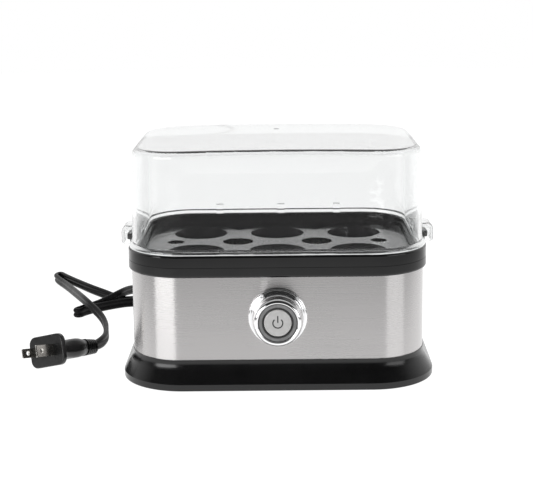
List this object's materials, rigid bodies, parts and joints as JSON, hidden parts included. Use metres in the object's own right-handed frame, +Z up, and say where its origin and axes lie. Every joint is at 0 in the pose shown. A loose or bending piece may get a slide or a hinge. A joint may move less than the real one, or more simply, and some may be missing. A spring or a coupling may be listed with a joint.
{
  "type": "egg cooker",
  "caption": "Electric egg cooker with a steel-clad rounded box body, heated dish, lift-out tray of egg cups, clear domed lid, round push button and a mains cord with a two-blade plug.",
  "frame": {"origin": "on the table under the middle of the body, without the cord and plug", "axes": "+X along the body's length towards the right-hand side seen from the front, -Y out of the front where the push button is, +Z up"},
  "size_m": [0.3103, 0.3332, 0.1584],
  "materials": {
    "black_plastic": "satin moulded",
    "clear_plastic": "clear, polished",
    "brushed_steel": "brushed along its length",
    "chrome": "polished",
    "silver_plastic": "fine texture",
    "smoked_plastic": "satin, lets the lamp through",
    "dark_print": "matte inlay",
    "dish_steel": "satin",
    "aluminium": "as cast",
    "heater_sheath": "heat tinted",
    "zinc_steel": "zinc plated",
    "grey_rubber": "matte",
    "black_rubber": "satin",
    "ceramic_white": "glazed",
    "circuit_green": "lacquered",
    "nickel_brass": "nickel plated"
  },
  "bodies": {
    "base": {"base_plate": "black_plastic", "feet": "grey_rubber", "base_skirt": "black_plastic", "steel_sleeve": "brushed_steel", "collar": "black_plastic", "plate_gasket": "grey_rubber", "heating_plate": "dish_steel", "heat_spreader": "aluminium", "heating_element": "heater_sheath", "element_pins": "zinc_steel", "thermostat": "ceramic_white", "tie_bar": "zinc_steel", "bar_screws": "zinc_steel", "thermal_fuse": "ceramic_white", "heat_shield": "aluminium", "shield_clips": "zinc_steel", "tie_screws": "zinc_steel", "knob_bezel": "chrome", "indicator_ring": "smoked_plastic", "bezel_nut": "black_plastic", "switch_housing": "black_plastic", "led_board": "circuit_green", "button_spring": "zinc_steel", "switch_terminals": "nickel_brass", "cord_boot": "black_rubber", "cord_clamp": "black_plastic", "clamp_screws": "zinc_steel", "cord_lead": "black_rubber", "terminal_block": "ceramic_white", "inner_wires": "grey_rubber", "plug_body": "black_rubber", "plug_blades": "nickel_brass", "cord": "black_rubber"},
    "tray": {"egg_tray": "black_plastic"},
    "lid": {"lid": "clear_plastic"},
    "button": {"power_button": "silver_plastic", "power_symbol": "dark_print"}
  },
  "joints": [
    {"name": "tray_lift", "type": "slide", "parent": "base", "child": "tray", "axis": [0, 0, 1], "range_m": [0, 0.08]},
    {"name": "lid_lift", "type": "slide", "parent": "tray", "child": "lid", "axis": [0, 0, 1], "range_m": [0, 0.12]},
    {"name": "button_press", "type": "slide", "parent": "base", "child": "button", "axis": [0, 1, 0], "range_m": [0, 0.002], "stiffness_N_per_m": 400, "deforming": ["button_spring"]}
  ]
}
